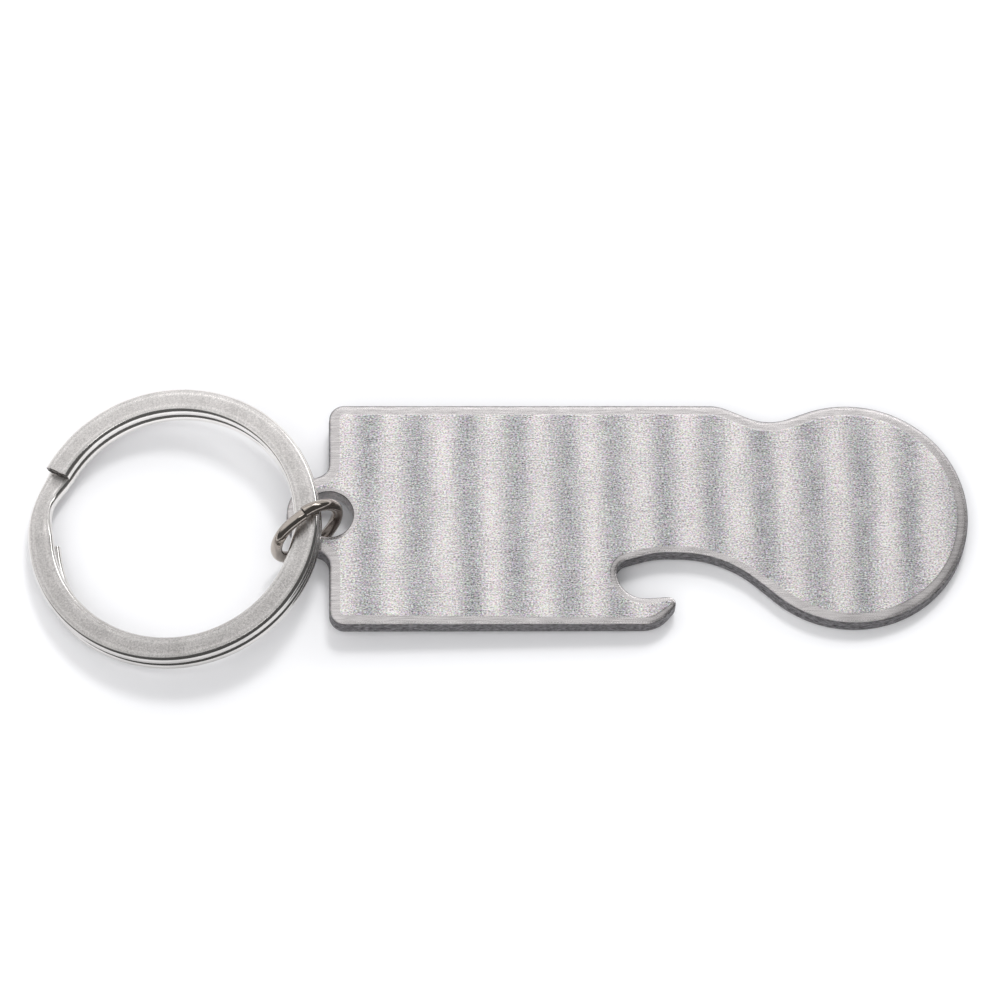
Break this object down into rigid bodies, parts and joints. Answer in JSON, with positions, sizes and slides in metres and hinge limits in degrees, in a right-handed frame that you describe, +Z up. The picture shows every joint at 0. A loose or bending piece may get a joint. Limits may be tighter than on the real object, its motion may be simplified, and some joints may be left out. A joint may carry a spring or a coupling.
{
  "type": "keyring bottle opener",
  "caption": "Flat steel keyring tag with a coin-sized round head and a hooked bottle opener notch, hung on a jump ring and a split ring.",
  "frame": {"origin": "centre of the coin-sized round head, on the plate's flat underside", "axes": "+X from the ring end towards the head along the plate's centre line, +Y across the plate away from the opener hook, +Z up out of the plate's top face"},
  "size_m": [0.0963, 0.0299, 0.0086],
  "materials": {
    "brushed_stainless": "finely brushed along the handle with soft cross bands, edges rounded by the stamping",
    "polished_nickel": "bright nickel plated wire",
    "satin_nickel": "satin flat faces with bright rounded edges"
  },
  "bodies": {
    "opener": {"opener_plate": "brushed_stainless"},
    "jump_ring": {"jump_ring": "polished_nickel"},
    "split_ring": {"split_ring": "satin_nickel"}
  },
  "joints": [
    {"name": "jump_ring_swivel", "type": "hinge", "parent": "opener", "child": "jump_ring", "pos_m": [-0.0535, 0, 0.001], "axis": [-0.1392, 0, 0.9903], "range_deg": [-90, 12]},
    {"name": "split_ring_lift", "type": "hinge", "parent": "jump_ring", "child": "split_ring", "pos_m": [-0.05568, -0.00231, 0.00382], "axis": [0.0622, 0.998, 0.0087], "range_deg": [0, 75]}
  ]
}
